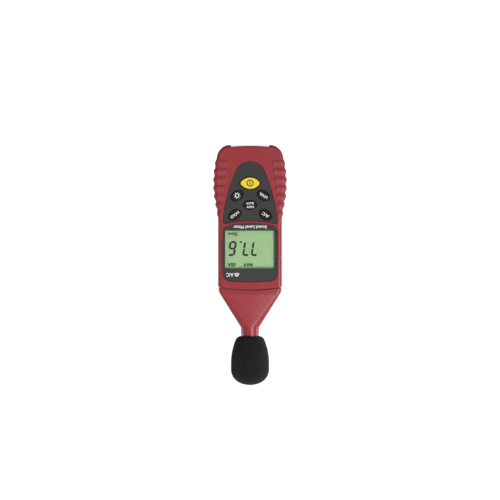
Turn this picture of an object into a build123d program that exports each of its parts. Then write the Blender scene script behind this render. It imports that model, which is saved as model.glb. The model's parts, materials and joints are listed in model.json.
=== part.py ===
"""Pocket sound level meter that stands upright on its two corner bumpers.

Millimetres. +Z runs up the microphone axis, the display faces -Y and +X is to the right of someone
reading it. The origin lies under the middle of the case, on the surface that the bumpers stand on.
Case, nose and electronics are one rigid body; the keys, the windscreen, the battery door and the
trimmer's rotor are bodies of their own.
"""

from build123d import *
from math import atan2, cos, degrees, pi, radians, sin
import os

# Case: front-view outline and thickness
HALF_DEPTH = 16.0  # front and back faces are this far from the middle plane
EDGE_ROUND = 3.1  # rounding of the long front and back edges
CORNER_R = 11.7  # bottom corners, seen from the front
CORNER_X = 17.3  # centre of a bottom corner
GRIP_TOP = 66.0  # the sides are plain above this height
HALF_GRIP = 31.3  # widest half-width, before the ribs are added
GRIP_MID = 34.0  # and its height
UPPER_R = 80.0  # side arc above the widest place
HALF_WAIST = 27.8  # half-width beside the display
CASE_TOP = 127.0
WALL = 2.4
FRONT_WALL = 3.2
FLOOR_Z = 3.4  # inside of the bottom wall
PARTING = 0.15  # half of the gap between the two shells

# Seam between case and nose: a bowed groove
SEAM_EDGE_Z = 123.2
SEAM_MID_Z = 125.5
SEAM_WIDTH = 1.3
SEAM_DEPTH = 1.1

# Grips
GRIP_DEPTH = 1.2
RIB_PITCH = 7.4
RIB_FIRST = 13.5
RIB_COUNT = 7
RIB_SIDE = 0.95  # how far a crest stands out of the side
RIB_FRONT = 0.7  # and out of the front
RIB_ENDS = 0.75  # the lowest and highest ribs are weaker by this factor

# Nose and microphone
SHOULDER_Z = 127.6
RIDGE_Z = 130.4  # the front face starts to slope here
RIDGE_HALF = 25.6
NECK_Z = 158.8
NECK_TOP = 166.7
NECK_R = (7.95, 7.6)  # at the foot and at the top
SLOPE_ROUND = 7.4  # corner rounding where the nose reaches the neck
CROWN = 0.8  # the nose is thicker in the middle than at its corners by this much
MIC_R = 6.35  # half-inch microphone
TUBE_TOP = 186.0
MIC_TOP = 193.0
BORE_R = 5.3
CAPSULE_R = 4.85

# Windscreen
FOAM_R = 16.8
FOAM_TOP = 210.0
FOAM_BASE = 167.0
FOAM_BORE = MIC_R + 0.65
CAP_R = 22.0  # blunt top of the dome
SHOULDER_R = 13.0  # between the blunt top and the side
SKIRT_Z = 190.0  # the foam tapers below this height

# Panels let into the front
POCKET = 1.2
PANEL_SINK = 0.3  # panels lie this far under the front face
PANEL_GAP = 0.1
RIM_BEVEL = 0.6
WINDOW = (43.3, 33.0)  # visible part of the display
WINDOW_Z = 91.1

# Electronics
PCB_FRONT = -8.4
PCB_BACK = -6.8
PCB_HALF = 23.5
PCB_Z = (14.0, 112.0)
KEY_TRAVEL = 0.8
KEY_PROUD = 0.8
KEY_GAP = 0.25

# Battery compartment and door
CELL = (26.5, 17.5, 46.2)
CELL_Z = 12.2
CELL_FRONT = -4.1
WELL_FLOOR = -4.9
WELL_HALF = 16.3
WELL_Z = (8.7, 66.3)
DOOR_THICK = 2.2
DOOR_GAP = 0.3
HINGE_PIN_R = 0.7
LEAD_R = 0.6

HINGE_Z = WELL_Z[0] + DOOR_GAP + DOOR_THICK / 2
TERMINAL_X = 6.35  # half the distance between the cell's terminals

CASE_SCREWS = ((22.4, 9.6), (21.5, 116.0))  # one side: X and height
PCB_SCREWS = ((21.3, 17.0), (21.3, 68.6))
SCREW_SEAT = 9.0  # case screws bear on the rear shell at this depth
SCREW_SINK_R = 2.9
TRIMMER = (-14.0, 101.0)
TRIPOD_Z = 84.0
TRIPOD_R = 4.75  # outside of the brass insert

KEYS = {  # name: X, height, half-length, half-height, tilt in degrees
    "power": (0.0, 33.3, 8.15, 4.85, 0.0),
    "backlight": (11.2, 44.1, 6.1, 4.2, 34.0),
    "level": (-11.7, 44.1, 6.1, 4.2, -32.0),
    "fast_slow": (0.0, 52.3, 5.8, 4.2, 0.0),
    "hold": (13.2, 60.9, 6.1, 4.2, 35.0),
    "weighting": (-13.4, 60.9, 6.1, 4.2, -35.0),
}


def both(shape):
    """The shape and its mirror image on the other side of the meter."""
    return [shape, mirror(shape, about=Plane.YZ)]


def plate(outline, front, back):
    """A front-view outline made solid between two depths."""
    return extrude(Plane.XZ.offset(-front) * outline, amount=front - back)


def block(x, y, z):
    """A box given by its lowest and highest X, Y and Z."""
    centre = Pos((x[0] + x[1]) / 2, (y[0] + y[1]) / 2, (z[0] + z[1]) / 2)
    return centre * Box(x[1] - x[0], y[1] - y[0], z[1] - z[0])


def rod_y(x, z, radius, front, back):
    """A round bar along Y."""
    return plate(Pos(x, z) * Circle(radius), front, back)


def rod_x(y, z, radius, low, high):
    """A round bar along X."""
    return Pos((low + high) / 2, y, z) * Rot(0, 90, 0) * Cylinder(radius, high - low)


def rod_z(x, y, radius, low, high):
    """A round bar along Z."""
    return Pos(x, y, (low + high) / 2) * Cylinder(radius, high - low)


def wire(points, radii, radius):
    """A round wire along straight runs joined by arcs."""
    path = FilletPolyline(*points, radius=radii)
    start = Plane(origin=path @ 0, z_dir=path % 0)
    return sweep(start * Circle(radius), path=path)


def join(*shapes):
    """Several touching or crossing shapes made into one."""
    total = shapes[0]
    for shape in shapes[1:]:
        total = total + shape
    return total


def stack(sections):
    """Straight-sided solid through sections one above the other."""
    return join(*[loft([low, high], ruled=True) for low, high in zip(sections, sections[1:])])


def cut(shape, *tools):
    """The shape without each of the tools."""
    for tool in tools:
        shape = shape - tool
    return shape


# ------------------------------------------------------------------ front-view outlines
def tangent_radius():
    """Radius of the lower side arc, which meets the corner's arc without a kink."""
    across, up = HALF_GRIP - CORNER_X, GRIP_MID - CORNER_R
    return (across**2 + up**2 - CORNER_R**2) / (2 * (across - CORNER_R))


def side_curves(inset=0.0):
    """Right-hand side of the case, drawn in by an amount, from bottom to top."""
    lower = tangent_radius()
    step = HALF_GRIP - HALF_WAIST
    rise = GRIP_TOP - GRIP_MID
    both_radii = (step**2 + rise**2) / (2 * step)
    hollow = both_radii - UPPER_R
    low_turn = degrees(atan2(GRIP_MID - CORNER_R, CORNER_X - HALF_GRIP + lower))
    high_turn = degrees(atan2(rise, both_radii - step))
    return [
        CenterArc((CORNER_X, CORNER_R), CORNER_R - inset, -90, 90 - low_turn),
        CenterArc((HALF_GRIP - lower, GRIP_MID), lower - inset, -low_turn, low_turn),
        CenterArc((HALF_GRIP - UPPER_R, GRIP_MID), UPPER_R - inset, 0, high_turn),
        CenterArc((HALF_WAIST + hollow, GRIP_TOP), hollow + inset, 180 + high_turn, -high_turn),
    ]


def case_outline(top, inset=0.0):
    """Front view of the case without its ribs, closed by a level line above the seam."""
    waist = HALF_WAIST - inset
    above = Polyline((waist, GRIP_TOP), (waist, top), (0, top))
    right = [Line((0, inset), (CORNER_X, inset)), *side_curves(inset), above]
    return make_face(right + [mirror(edge, about=Plane.YZ) for edge in right])


def half_width(height):
    """Half-width of the case at a height, without the ribs."""
    curves = side_curves()
    curve = next(c for c in curves if (c @ 1).Y >= height)
    low, high = 0.0, 1.0
    for _ in range(30):
        middle = (low + high) / 2
        if (curve @ middle).Y < height:
            low = middle
        else:
            high = middle
    return (curve @ low).X


def grip_inner(height):
    """X of the line on the front where the grip ends."""
    return 18.0 + 0.12 * max(height - 12.0, 0.0)


def grip_region():
    """Front-view area of the right-hand grip, running past the case's edge."""
    corners = ((16.4, 1.8), (16.9, 0), (16.9, -1), (40, -1), (40, GRIP_TOP), (23.6, GRIP_TOP - 1.5))
    inner = ((grip_inner(58), 58.0), (grip_inner(12), 12.0))
    return make_face(Polyline(*corners, *inner, close=True))


def bowed_above(height_edge, height_mid):
    """Everything above a surface that bows up in the middle, as a tall block."""
    bow = ThreePointArc((-40, height_edge - 2.6), (0, height_mid), (40, height_edge - 2.6))
    frame = Polyline(bow @ 1, (40, 240), (-40, 240), bow @ 0)
    return plate(make_face([bow, frame]), -40, 40)


def arched(left, low, right, high):
    """Area between four arcs; each is a list of corner, middle and corner."""
    return make_face([ThreePointArc(*side) for side in (left, low, right, high)])


def grown(face, amount):
    """The outline drawn outwards, kept the same on both sides."""
    if not amount:
        return face
    half = offset(face, amount) & (Pos(50, 100) * Rectangle(100, 400))
    return half + mirror(half, about=Plane.YZ)


def keypad_outline(grow=0.0):
    """Keypad panel: a round arch at the bottom and a hollow arc at the top."""
    bottom, radius = 14.6, 13.5
    centre = bottom + radius
    lean = radians(16)
    foot = (radius * cos(lean), centre - radius * sin(lean))
    arch = ThreePointArc((-foot[0], foot[1]), (0, bottom), foot)
    right = ThreePointArc(foot, (19.6, 43.8), (23.9, 68.9))
    top = ThreePointArc((23.9, 68.9), (0, 65.9), (-23.9, 68.9))
    face = make_face([arch, right, top, mirror(right, about=Plane.YZ)])
    upper = face.vertices().sort_by(Axis.Y)[-2:]
    return grown(fillet(upper, 2.0), grow)


def window_outline(grow=0.0):
    """Dark surround of the display."""
    low, high = (23.2, 71.6), (23.4, 117.4)
    face = arched(
        ((-low[0], low[1]), (0, 68.0), low),
        (low, (24.15, 95.0), high),
        (high, (0, 119.0), (-high[0], high[1])),
        ((-high[0], high[1]), (-24.15, 95.0), (-low[0], low[1])),
    )
    corners = face.vertices().sort_by(Axis.Y)
    face = fillet(corners[:2], 4.5)
    face = fillet(face.vertices().filter_by(lambda v: v.Y > 117.3), 6.5)
    return grown(face, grow)


# ------------------------------------------------------------------ keys
def lens(half_length, half_height):
    """Pointed oval between two arcs, with its ends rounded."""
    ends = ((-half_length, 0), (half_length, 0))
    upper = ThreePointArc(ends[0], (0, half_height), ends[1])
    face = make_face([upper, mirror(upper, about=Plane.XZ)])
    return fillet(face.vertices(), half_height * 0.45)


def key_outline(name, grow=0.0):
    x, z, length, height, tilt = KEYS[name]
    if name == "power":
        shape = lens(length + 0.6 + grow, height + grow)
    else:
        shape = Ellipse(length + grow, height + grow)
    return Pos(x, z) * Rot(0, 0, tilt) * shape


def key(name):
    """A key cap with a soft top edge and a flange that keeps it behind the front wall."""
    top = -HALF_DEPTH - KEY_PROUD + PANEL_SINK
    inside = -HALF_DEPTH + FRONT_WALL
    cap = plate(key_outline(name), top, inside + 0.5)
    cap = fillet(cap.edges().group_by(Axis.Y)[0], 0.6)
    return cap + plate(key_outline(name, 0.9), inside + 0.15, inside + 0.9)


# ------------------------------------------------------------------ case blanks
def solid_case():
    """The case as one filled block with rounded long edges."""
    top = CASE_TOP + 3
    blank = plate(case_outline(top), -HALF_DEPTH, HALF_DEPTH)
    rims = [e for e in blank.edges() if abs(abs(e.center().Y) - HALF_DEPTH) < 0.01]
    rims = [e for e in rims if e.center().Z < top - 0.1]
    return fillet(rims, EDGE_ROUND)


def inset_case(amount, front, back, low):
    """The case's outline drawn in by an amount, between two depths and above a height."""
    return plate(case_outline(CASE_TOP + 20, amount), front, back) & block((-40, 40), (-40, 40), (low, 160))


def rib_section(height, side, front):
    """Filled cross-section of the front right quarter of the case with one rib on it."""
    width, depth = half_width(height), HALF_DEPTH
    corner = (width - EDGE_ROUND, EDGE_ROUND - depth)
    inner = min(grip_inner(height) + 0.5, corner[0] - 1.0)
    reach = (EDGE_ROUND + (side + front) / 2) * sin(radians(45))
    before, after = (corner[0], -depth - front), (width + side, corner[1])
    turn = ThreePointArc(before, (corner[0] + reach, corner[1] - reach), after)
    start = (inner, 0.25 - depth)
    crest = (inner + 0.9, -depth - front)
    edge = Polyline(after, (width + side, -PARTING), (inner, -PARTING), start, crest, before)
    return Plane.XY.offset(height) * make_face([turn, edge])


def ribs():
    """Ribs that rise steeply on their lower side and fall away gently above it."""
    rise = ((-1.0, -0.3), (0.6, 0.85), (2.4, 1.0), (RIB_PITCH - 1.5, -0.3))
    made = []
    for number in range(RIB_COUNT):
        wall = RIB_FIRST + number * RIB_PITCH
        fade = RIB_ENDS if number in (0, RIB_COUNT - 1) else 1.0
        steps = [
            rib_section(wall + up, RIB_SIDE * share * fade, RIB_FRONT * share * fade)
            for up, share in rise
        ]
        made.append(stack(steps))
    return made


def grip_quarter(case, core):
    """Over-moulded grip on the front right quarter."""
    region = plate(grip_region(), -40, -PARTING)
    return join(case & region, *ribs()) - core


# ------------------------------------------------------------------ shells
def boss(x, z, radius, front, back):
    return both(rod_y(x, z, radius, front, back))


def bottom_hollow():
    """The gently arched recess between the two bumpers."""
    arc = ThreePointArc((-17.0, 1.65), (0, 0.8), (17.0, 1.65))
    frame = Polyline(arc @ 1, (17.0, -5), (-17.0, -5), arc @ 0)
    return plate(make_face([arc, frame]), -40, 40)


def seam_groove():
    """Groove round the top of the case, under the nose."""
    strip = bowed_above(SEAM_EDGE_Z, SEAM_MID_Z) - bowed_above(
        SEAM_EDGE_Z + SEAM_WIDTH, SEAM_MID_Z + SEAM_WIDTH
    )
    half_x, half_y = HALF_WAIST - SEAM_DEPTH, HALF_DEPTH - SEAM_DEPTH
    return strip - block((-half_x, half_x), (-half_y, half_y), (100, 140))


def window_hole(grow, front, back):
    width, height = WINDOW
    return plate(Pos(0, WINDOW_Z) * Rectangle(width + grow, height + grow), front, back)


def bevel(outline):
    """Cutter for the sloping rim of a recess in the front face."""
    wide = Plane.XZ.offset(HALF_DEPTH) * outline(PANEL_GAP + RIM_BEVEL)
    narrow = Plane.XZ.offset(HALF_DEPTH - RIM_BEVEL) * outline(PANEL_GAP)
    return loft([wide, narrow], ruled=True)


def front_case(blank, grip_cut):
    inside = -HALF_DEPTH + FRONT_WALL
    shell = (blank & block((-40, 40), (-40, -PARTING), (-5, 140))) - grip_cut
    shell = shell - inset_case(WALL, inside, 5, FLOOR_Z)
    shell = shell - inset_case(WALL - 0.8, -1.8, 5, FLOOR_Z - 0.8)
    floor = -HALF_DEPTH + POCKET
    tools = [
        bottom_hollow(),
        seam_groove(),
        bowed_above(SEAM_EDGE_Z + SEAM_WIDTH, SEAM_MID_Z + SEAM_WIDTH),
        plate(keypad_outline(PANEL_GAP), -20, floor),
        plate(window_outline(PANEL_GAP), -20, floor),
        bevel(keypad_outline),
        bevel(window_outline),
        window_hole(3.0, -20, floor + 1.0),
        window_hole(0.6, -20, 0),
    ]
    tools += [plate(key_outline(name, KEY_GAP + 0.2), -20, 0) for name in KEYS]
    shell = cut(shell, *tools)
    for x, z in CASE_SCREWS:
        shell = join(shell, *boss(x, z, 3.0, inside - 0.5, 0))
        shell = cut(shell, *boss(x, z, 1.3, -9, 1))
    for x, z in PCB_SCREWS:
        shell = join(shell, *boss(x, z, 1.9, inside - 0.5, PCB_FRONT))
        shell = cut(shell, *boss(x, z, 0.9, -11.6, 0))
    return shell


def rear_case(blank, grip_cut):
    inside = HALF_DEPTH - WALL
    half, low, high = WELL_HALF, WELL_Z[0], WELL_Z[1]
    shell = (blank & block((-40, 40), (PARTING, 40), (-5, 140))) - grip_cut
    shell = shell - inset_case(WALL, -5, inside, FLOOR_Z)
    lip = inset_case(WALL - 0.8, -1.7, PARTING, FLOOR_Z - 0.8)
    lip = lip - inset_case(WALL, -5, 5, FLOOR_Z)
    shell = shell + (lip & block((-40, 40), (-5, 5), (-5, 118)))
    well = block((-half - 1.2, half + 1.2), (WELL_FLOOR - 0.8, inside + 1), (low - 1.6, high + 7.0))
    shell = shell + (well & inset_case(0.5, -30, inside + 1, 1.5))
    for x, z in CASE_SCREWS:
        shell = join(shell, *boss(x, z, 3.6, 0, inside + 0.5))
    shell = join(shell, rod_y(0, TRIPOD_Z, TRIPOD_R + 1.65, 5.0, inside + 0.5))
    trimmer_x, trimmer_z = TRIMMER
    tools = [
        bottom_hollow(),
        seam_groove(),
        bowed_above(SEAM_EDGE_Z + SEAM_WIDTH, SEAM_MID_Z + SEAM_WIDTH),
        block((-half, half), (WELL_FLOOR, 40), (low, high)),
        block((-half, half), (WELL_FLOOR, inside), (low, high + 5.8)),
        rod_y(0, TRIPOD_Z, TRIPOD_R, 9.0, 40),
        rod_y(trimmer_x, trimmer_z, 2.0, 5, 40),
        rod_x(HALF_DEPTH - DOOR_THICK / 2, HINGE_Z, HINGE_PIN_R + 0.05, -half - 1.3, half + 1.3),
    ]
    for x, z in CASE_SCREWS:
        tools += boss(x, z, 1.6, -1, 40)
        tools += boss(x, z, SCREW_SINK_R, SCREW_SEAT, 40)
    for step in range(2):
        slot = block((5.6, 9.4), (3.0, 9.5), (high + 5.0, high + 8.0))
        tools.append(Pos(-15 * step, 0, 0) * slot)
    return cut(shell, *tools)


def battery_door():
    """Door that turns about its round lower edge."""
    half, middle = WELL_HALF - DOOR_GAP, HALF_DEPTH - DOOR_THICK / 2
    top = WELL_Z[1] - DOOR_GAP
    slab = block((-half, half), (HALF_DEPTH - DOOR_THICK, HALF_DEPTH), (HINGE_Z, top))
    door = join(
        slab,
        rod_x(middle, HINGE_Z, DOOR_THICK / 2, -half, half),
        rod_x(middle, HINGE_Z, HINGE_PIN_R, -half - 1.2, half + 1.2),
    )
    ribs_in = [
        block((x - 0.6, x + 0.6), (HALF_DEPTH - DOOR_THICK - 0.3, HALF_DEPTH - 1), (20, top - 3))
        for x in (-9, 0, 9)
    ]
    thumb = [
        block((-7, 7), (HALF_DEPTH - 0.6, HALF_DEPTH + 1), (z - 0.5, z + 0.5))
        for z in (54.0, 56.4, 58.8, 61.2)
    ]
    snap = block((-4, 4), (HALF_DEPTH - DOOR_THICK - 1.4, HALF_DEPTH - 1), (top - 1.4, top))
    return cut(join(door, *ribs_in, snap), *thumb)


# ------------------------------------------------------------------ nose and microphone
def nose_section(half_x, half_y, radius, height, crown=0.0, shift=0.0):
    """Level section with rounded corners, whose front and back may bow outwards."""
    corner = (half_x, half_y - crown)
    if crown:
        bow = ThreePointArc((-half_x, corner[1]), (0, half_y), corner)
    else:
        bow = Line((-half_x, half_y), corner)
    side = Line(corner, (half_x, -corner[1]))
    face = make_face([bow, side, mirror(bow, about=Plane.XZ), mirror(side, about=Plane.YZ)])
    return Plane.XY.offset(height) * Pos(0, shift) * fillet(face.vertices(), radius)


def mic_nose():
    """Hollow wedge over the case, flat in front and narrowing to the round neck."""
    slope = (RIDGE_HALF - NECK_R[0] - 0.2) / (NECK_Z - RIDGE_Z)
    foot = SHOULDER_Z - 1.2
    stations = [(27.35, 120.0, CROWN / 2), (27.3, foot, CROWN / 2)]
    steps = 4
    for step in range(1, steps):
        height = foot + (RIDGE_Z - foot) * step / steps
        line = RIDGE_HALF + slope * (RIDGE_Z - height)
        ease = ((steps - step) / steps) ** 2
        crown = CROWN / 2 * (1 + step / steps)
        stations.append((min(line, 27.3) - 0.25 * ease, height, crown))
    stations.append((RIDGE_HALF, RIDGE_Z, CROWN))
    sections = [nose_section(x, HALF_DEPTH, EDGE_ROUND, z, crown) for x, z, crown in stations]
    sections.append(nose_section(NECK_R[0] + 0.2, 8.0, SLOPE_ROUND, NECK_Z, 0.1))
    outer = stack(sections) & bowed_above(SEAM_EDGE_Z + SEAM_WIDTH, SEAM_MID_Z + SEAM_WIDTH)
    spigot = extrude(nose_section(24.9, 13.0, 1.5, 119.9, shift=0.4), amount=8)
    inner = stack(
        [nose_section(23.2, 11.3, 1.5, z, shift=0.4) for z in (110.0, SHOULDER_Z)]
        + [nose_section(4.6, 4.6, 1.5, NECK_Z - 1.5)]
    )
    rise = NECK_TOP - NECK_Z
    neck = Pos(0, 0, NECK_Z + rise / 2) * Cone(*NECK_R, rise)
    stem = rod_z(0, 0, NECK_R[1], NECK_Z - 4, NECK_Z + 1)
    body = join(outer, spigot, stem, neck, rod_z(0, 0, MIC_R, NECK_TOP - 1, TUBE_TOP))
    return cut(body, inner, rod_z(0, 0, BORE_R, NECK_Z - 2, 200))


def mic_grille():
    """Protecting grid: a thin cap with slots round it and holes in its end."""
    cap = rod_z(0, 0, MIC_R, TUBE_TOP, MIC_TOP)
    cap = fillet(cap.edges().group_by(Axis.Z)[-1], 0.6)
    cap = cap - rod_z(0, 0, BORE_R, 180, MIC_TOP - 0.7)
    holes = [rod_z(0, 0, 0.6, 180, 200)]
    for radius, count in ((1.9, 6), (3.7, 12)):
        for number in range(count):
            angle = 2 * pi * number / count
            holes.append(rod_z(radius * cos(angle), radius * sin(angle), 0.6, 180, 200))
    return cut(cap, *holes)


def mic_holder():
    return rod_z(0, 0, BORE_R, 181, 190) - rod_z(0, 0, CAPSULE_R, 170, 200)


def mic_capsule():
    body = rod_z(0, 0, CAPSULE_R, 184, 190)
    face = rod_z(0, 0, 3.4, 189.5, 195)
    return cut(body, face)


def mic_leads():
    """Two wires from the capsule to the circuit board."""
    made = []
    for side in (-1, 1):
        end = PCB_BACK + 0.45
        points = [
            (1.3 * side, 0, 184),
            (1.3 * side, 0, 168),
            (1.6 * side, 0.6, 150),
            (2.4 * side, -1.2, 132),
            (3.4 * side, -4.6, 118),
            (3.6 * side, end, 109),
            (3.6 * side, end, 104),
        ]
        made.append(wire(points, [12, 12, 12, 8, 6], 0.45))
    return made


def windscreen():
    """Foam ball: a blunt dome on a tapering skirt, bored for the microphone."""
    cap = FOAM_TOP - CAP_R
    side = FOAM_R - SHOULDER_R
    middle = cap + ((CAP_R - SHOULDER_R) ** 2 - side**2) ** 0.5
    lean = degrees(atan2(middle - cap, side))
    top = CenterArc((0, cap), CAP_R, lean, 90 - lean)
    shoulder = CenterArc((side, middle), SHOULDER_R, 0, lean)
    skirt = ThreePointArc((12.9, 170.6), (15.5, 179.0), (FOAM_R, SKIRT_Z))
    heel = ThreePointArc((8.4, FOAM_BASE), (11.6, 168.5), skirt @ 0)
    edge = [
        Line((0, FOAM_BASE), (8.4, FOAM_BASE)),
        heel,
        skirt,
        Line(skirt @ 1, shoulder @ 0),
        shoulder,
        top,
        Line(top @ 1, (0, FOAM_BASE)),
    ]
    ball = revolve(Plane.XZ * make_face(edge), axis=Axis.Z)
    return ball - rod_z(0, 0, FOAM_BORE, FOAM_BASE - 1, MIC_TOP + 1)


# ------------------------------------------------------------------ display, keypad, electronics
def window_surround():
    depth = -HALF_DEPTH + PANEL_SINK
    panel = plate(window_outline(), depth, -HALF_DEPTH + POCKET)
    panel = panel - window_hole(0, -20, 0)
    rims = [e for e in panel.edges().group_by(Axis.Y)[0] if abs(e.center().X) < 21.7]
    rims = [e for e in rims if 74.5 < e.center().Z < 108.2]
    return chamfer(rims, 0.5)


def display_window():
    floor = -HALF_DEPTH + POCKET
    return window_hole(2.8, floor, floor + 1.0)


def lcd_glass():
    front = -HALF_DEPTH + FRONT_WALL + 0.1
    face = plate(Pos(0, WINDOW_Z) * Rectangle(47, 38), front, front + 1.1)
    rear = plate(Pos(0, WINDOW_Z) * Rectangle(47, 34.4), front + 1.1, front + 2.2)
    return [face, rear]


def lcd_holder():
    front = -HALF_DEPTH + FRONT_WALL + 0.1
    ring = plate(Pos(0, WINDOW_Z) * Rectangle(49.4, 40.4), front, PCB_FRONT)
    return ring - plate(Pos(0, WINDOW_Z) * Rectangle(47, 38), -20, 0)


def lcd_connectors():
    """Rubber strips that carry the display's signals to the board."""
    back = -HALF_DEPTH + FRONT_WALL + 1.2
    strip = block((-22, 22), (back, PCB_FRONT), (0, 1.6))
    return [Pos(0, 0, WINDOW_Z - 18.95) * strip, Pos(0, 0, WINDOW_Z + 17.35) * strip]


def backlight():
    front = -HALF_DEPTH + FRONT_WALL + 2.3
    return plate(Pos(0, WINDOW_Z) * Rectangle(46, 34), front, PCB_FRONT)


def keypad_panel():
    panel = plate(keypad_outline(), -HALF_DEPTH + PANEL_SINK, -HALF_DEPTH + POCKET)
    return cut(panel, *[plate(key_outline(name, KEY_GAP), -20, 0) for name in KEYS])


def keypad_mat():
    """Rubber mat with a dome under each key."""
    top = -HALF_DEPTH + FRONT_WALL + 0.9 + KEY_TRAVEL + 0.15
    base = plate(Pos(0, 47) * RectangleRounded(38, 44, 3), PCB_FRONT - 1.0, PCB_FRONT)
    domes = []
    for x, z, _, height, _ in KEYS.values():
        low = Plane.XZ.offset(-(PCB_FRONT - 1.0)) * Pos(x, z) * Circle(height - 0.8)
        high = Plane.XZ.offset(-top) * Pos(x, z) * Circle(height - 1.7)
        domes.append(loft([low, high]))
    return join(base, *domes)


def main_pcb():
    low, high = PCB_Z
    board = plate(
        Pos(0, (low + high) / 2) * RectangleRounded(2 * PCB_HALF, high - low, 1.5), PCB_FRONT, PCB_BACK
    )
    for x, z in PCB_SCREWS:
        board = cut(board, *boss(x, z, 1.2, -20, 0))
    return board


def pcb_screws():
    made = []
    for x, z in PCB_SCREWS:
        screw = join(
            rod_y(x, z, 0.9, -11.4, PCB_BACK),
            rod_y(x, z, 1.15, PCB_FRONT, PCB_BACK),
            rod_y(x, z, 2.1, PCB_BACK, PCB_BACK + 1.3),
        )
        made += both(screw - rod_cross(x, z, PCB_BACK + 0.6, PCB_BACK + 2))
    return made


def rod_cross(x, z, front, back):
    """Cross-shaped driver recess."""
    arms = Rectangle(2.4, 0.5) + Rectangle(0.5, 2.4)
    return plate(Pos(x, z) * arms, front, back)


def case_screws():
    made = []
    for x, z in CASE_SCREWS:
        head = rod_y(x, z, SCREW_SINK_R - 0.2, SCREW_SEAT, SCREW_SEAT + 2.2)
        head = fillet(head.edges().group_by(Axis.Y)[-1], 0.7)
        screw = join(head, rod_y(x, z, 1.3, -8, SCREW_SEAT))
        made += both(screw - rod_cross(x, z, SCREW_SEAT + 0.9, 12))
    return made


def on_board(x, z, width, height, tall):
    """A box-shaped part on the back of the board."""
    sides = (x - width / 2, x + width / 2)
    return block(sides, (PCB_BACK, PCB_BACK + tall), (z - height / 2, z + height / 2))


def pcb_chips():
    """Packages with their leads drawn in as a thinner, wider layer."""
    made = []
    for x, z, width, height in ((8.0, 92.0, 12.0, 12.0), (-3.0, 91.0, 5.0, 4.0), (0.0, 81.5, 5.0, 6.0)):
        body = on_board(x, z, width, height, 1.6)
        legs = on_board(x, z, width + 1.6, height - 1.2, 0.35)
        made.append(body + legs)
    return made


def pcb_passives():
    """Small capacitors and resistors, two electrolytic cans and the crystal."""
    made = [rod_y(x, 81.0, 2.5, PCB_BACK, PCB_BACK + 5.4) for x in (-13.5, 15.0)]
    made.append(on_board(18.5, 103.5, 3.4, 9.0, 3.2))
    for row in range(3):
        for column in range(4):
            made.append(on_board(-18.5 + column * 3.6, 90.5 + row * 2.6, 2.0, 1.2, 0.7))
    return made


def calibration_pot():
    x, z = TRIMMER
    body = on_board(x, z, 6.6, 6.6, 4.9)
    return body - rod_y(x, z, 1.7, PCB_BACK + 3.2, 0)


def calibration_rotor():
    x, z = TRIMMER
    rotor = rod_y(x, z, 1.65, PCB_BACK + 3.25, PCB_BACK + 4.8)
    slot = plate(Pos(x, z) * Rectangle(2.6, 0.6), PCB_BACK + 4.1, 0)
    return rotor - slot


# ------------------------------------------------------------------ battery
def battery_cell():
    width, depth, height = CELL
    middle = CELL_FRONT + depth / 2
    cell = Pos(0, middle, CELL_Z + height / 2) * Box(width, depth, height)
    return fillet(cell.edges().filter_by(Axis.Z), 2.6)


def battery_terminals():
    middle = CELL_FRONT + CELL[1] / 2
    top = CELL_Z + CELL[2]
    post = rod_z(-TERMINAL_X, middle, 2.8, top, top + 2.2)
    socket = rod_z(TERMINAL_X, middle, 3.9, top, top + 2.2)
    return [post, socket - rod_z(TERMINAL_X, middle, 2.9, top + 0.6, top + 5)]


def battery_snap():
    """Snap connector: a plate with a socket over the post and a post in the socket."""
    middle = CELL_FRONT + CELL[1] / 2
    top = CELL_Z + CELL[2]
    plate_z = top + 2.3
    ring = rod_z(-TERMINAL_X, middle, 3.7, top + 0.1, plate_z + 0.1)
    ring = ring - rod_z(-TERMINAL_X, middle, 2.8, top, plate_z)
    stud = rod_z(TERMINAL_X, middle, 2.7, top + 0.8, plate_z + 0.1)
    cover = Pos(0, middle, plate_z + 0.9) * Box(25, 11.5, 1.8)
    cover = fillet(cover.edges().filter_by(Axis.Z), 4.0)
    return join(cover, ring, stud)


def battery_leads():
    """Two leads from the snap connector, out of the top of the compartment and to the board."""
    middle = CELL_FRONT + CELL[1] / 2
    start = CELL_Z + CELL[2] + 4.1
    made = []
    for side in (-1, 1):
        points = [
            (5.0 * side, middle, start),
            (5.0 * side, middle, start + 4.0),
            (7.5 * side, middle + 1.4, start + 9.0),
            (7.5 * side, middle + 0.4, start + 14.5),
            (7.5 * side, middle - 4.4, start + 16.6),
            (7.5 * side, PCB_BACK, start + 16.6),
        ]
        made.append(wire(points, [4, 5, 4, 4], LEAD_R))
    return made


def battery_foam():
    return block((-11, 11), (WELL_FLOOR, CELL_FRONT), (18, 54))


def tripod_insert():
    """Brass insert; its plain bore is the core of a quarter-inch thread."""
    sleeve = rod_y(0, TRIPOD_Z, TRIPOD_R, 9.0, HALF_DEPTH - 0.2)
    return sleeve - rod_y(0, TRIPOD_Z, 2.6, 9.8, 20)


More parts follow.
